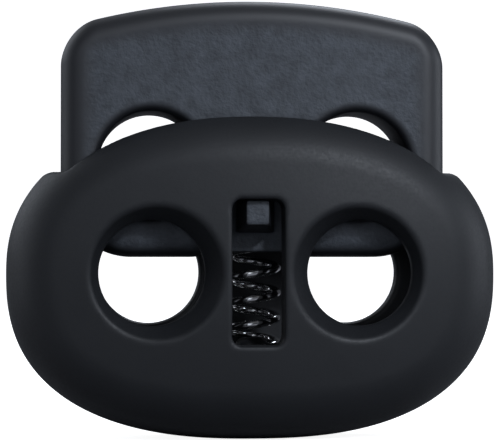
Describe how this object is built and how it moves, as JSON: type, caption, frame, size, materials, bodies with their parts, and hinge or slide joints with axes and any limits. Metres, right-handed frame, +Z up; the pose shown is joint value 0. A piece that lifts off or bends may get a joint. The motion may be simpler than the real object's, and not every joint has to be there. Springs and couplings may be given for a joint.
{
  "type": "cord lock",
  "caption": "Oval spring cord lock: a flat plunger slides in a hollow shell and grips cords in round cross holes.",
  "frame": {"origin": "lowest point of the housing, midway across its width and its thickness", "axes": "+Z up along the plunger's travel, away from the housing; +X to the right across both cord holes; the window faces -Y"},
  "size_m": [0.025, 0.009, 0.0222],
  "materials": {
    "shell_plastic": "fine satin, moulded black plastic",
    "plunger_plastic": "fine spark-eroded matt faces with smooth rounded edges",
    "spring_steel": "bright drawn wire"
  },
  "bodies": {
    "housing": {"housing": "shell_plastic", "spring": "spring_steel"},
    "plunger": {"plunger": "plunger_plastic"}
  },
  "joints": [
    {"name": "plunger_press", "type": "slide", "parent": "housing", "child": "plunger", "axis": [0, 0, -1], "range_m": [0, 0.0055], "stiffness_N_per_m": 600, "springref_m": -0.003, "deforming": ["spring"]}
  ]
}
